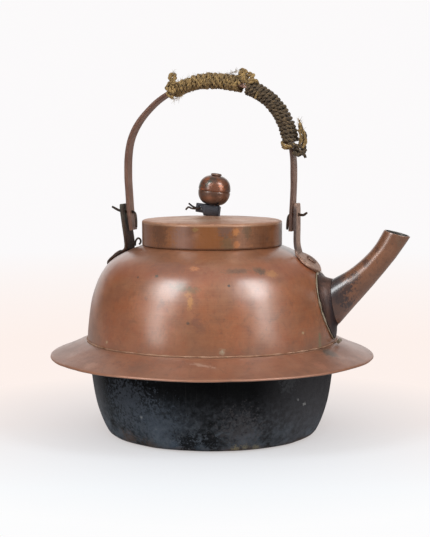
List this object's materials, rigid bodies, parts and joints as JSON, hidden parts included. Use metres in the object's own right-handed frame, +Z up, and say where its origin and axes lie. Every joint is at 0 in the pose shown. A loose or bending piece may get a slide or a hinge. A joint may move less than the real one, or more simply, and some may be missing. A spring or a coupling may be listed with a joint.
{
  "type": "copper kettle",
  "caption": "Copper kettle with a wide hearth brim, sooted lower pot, curved spout, lift-off cap lid with ball knob, and a swinging strap handle bound with hemp cord.",
  "frame": {"origin": "centre of the flat bottom of the lower pot", "axes": "+Z up, +X along the spout and along the handle's hinge line, +Y to the left of the spout"},
  "size_m": [0.3119, 0.28, 0.3152],
  "materials": {
    "copper": "hammered copper, brown patina, worn semi-gloss",
    "lid_copper": "copper with a yellower brown patina",
    "old_copper": "dark oxidised copper",
    "soot": "sooted copper, matt black with bluish wear",
    "iron": "blackened wrought iron, dull",
    "pale_cord": "pale hemp cord, two-ply",
    "dark_cord": "hemp cord darkened by hands"
  },
  "bodies": {
    "kettle": {"lower_pot": "soot", "brim": "copper", "dome": "copper", "neck_collar": "copper", "spout": "copper", "spout_flange": "old_copper", "ear_spout_side": "old_copper", "ear_far_side": "iron", "rivet_spout_side": "old_copper", "rivet_far_side": "iron", "pin_spout_side": "iron", "pin_far_side": "iron", "chain_eye": "iron"},
    "lid": {"lid_band": "lid_copper", "lid_top": "lid_copper", "knob_seat": "lid_copper", "knob_lower": "copper", "knob_upper": "copper", "knob_rivet": "old_copper", "knob_bracket": "iron", "lid_wire": "iron"},
    "handle": {"handle_strap": "old_copper", "binding_pale": "pale_cord", "binding_dark": "dark_cord", "knot_far_end": "pale_cord", "knot_middle": "pale_cord", "knot_spout_end": "dark_cord"}
  },
  "joints": [
    {"name": "handle_swing", "type": "hinge", "parent": "kettle", "child": "handle", "pos_m": [0, 0, 0.19], "axis": [1, 0, 0], "range_deg": [-110, 110]},
    {"name": "lid_lift", "type": "slide", "parent": "kettle", "child": "lid", "axis": [0, 0, 1], "range_m": [0, 0.06]}
  ]
}
